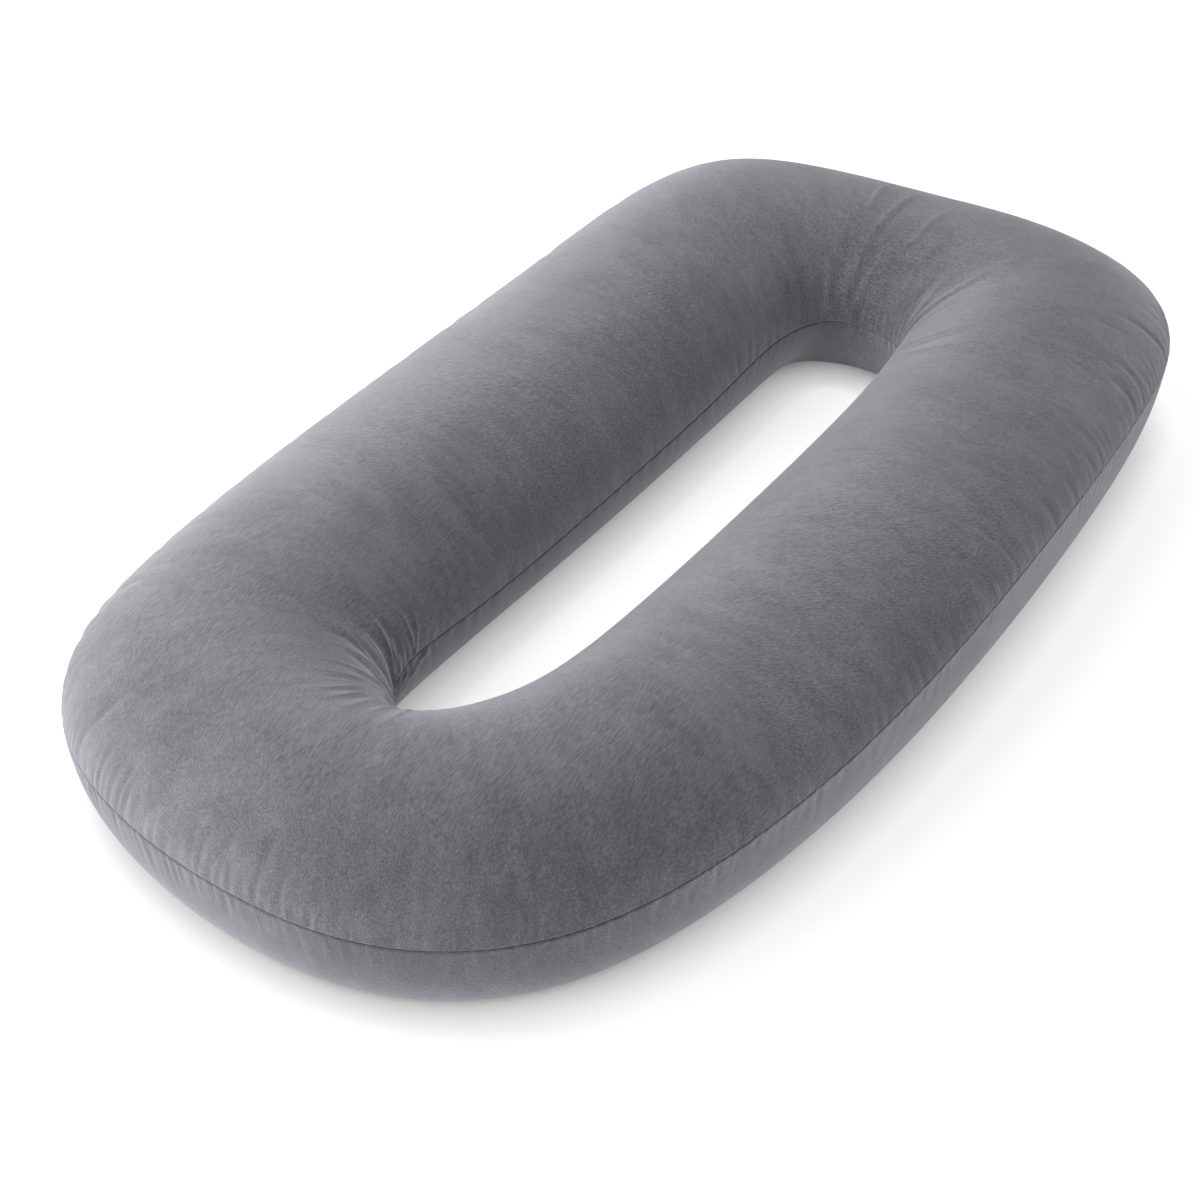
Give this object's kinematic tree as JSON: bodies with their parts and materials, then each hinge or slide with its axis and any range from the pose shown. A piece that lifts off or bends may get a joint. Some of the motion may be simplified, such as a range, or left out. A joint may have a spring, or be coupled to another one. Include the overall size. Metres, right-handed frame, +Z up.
{
  "type": "body pillow",
  "caption": "Long closed-ring body pillow of short-napped cloth, plump all round, with a narrow rounded gap along its middle.",
  "frame": {"origin": "on the floor plane, under the middle of the pillow's box", "axes": "+X along the pillow's length towards the head end, +Y towards the left arm, +Z up from the underside it lies on"},
  "size_m": [1.3988, 0.7422, 0.1983],
  "materials": {
    "velour": "short brushed nap in mid grey, matt with a soft sheen at grazing angles"
  },
  "bodies": {
    "root": {"pillow": "velour"}
  },
  "joints": []
}
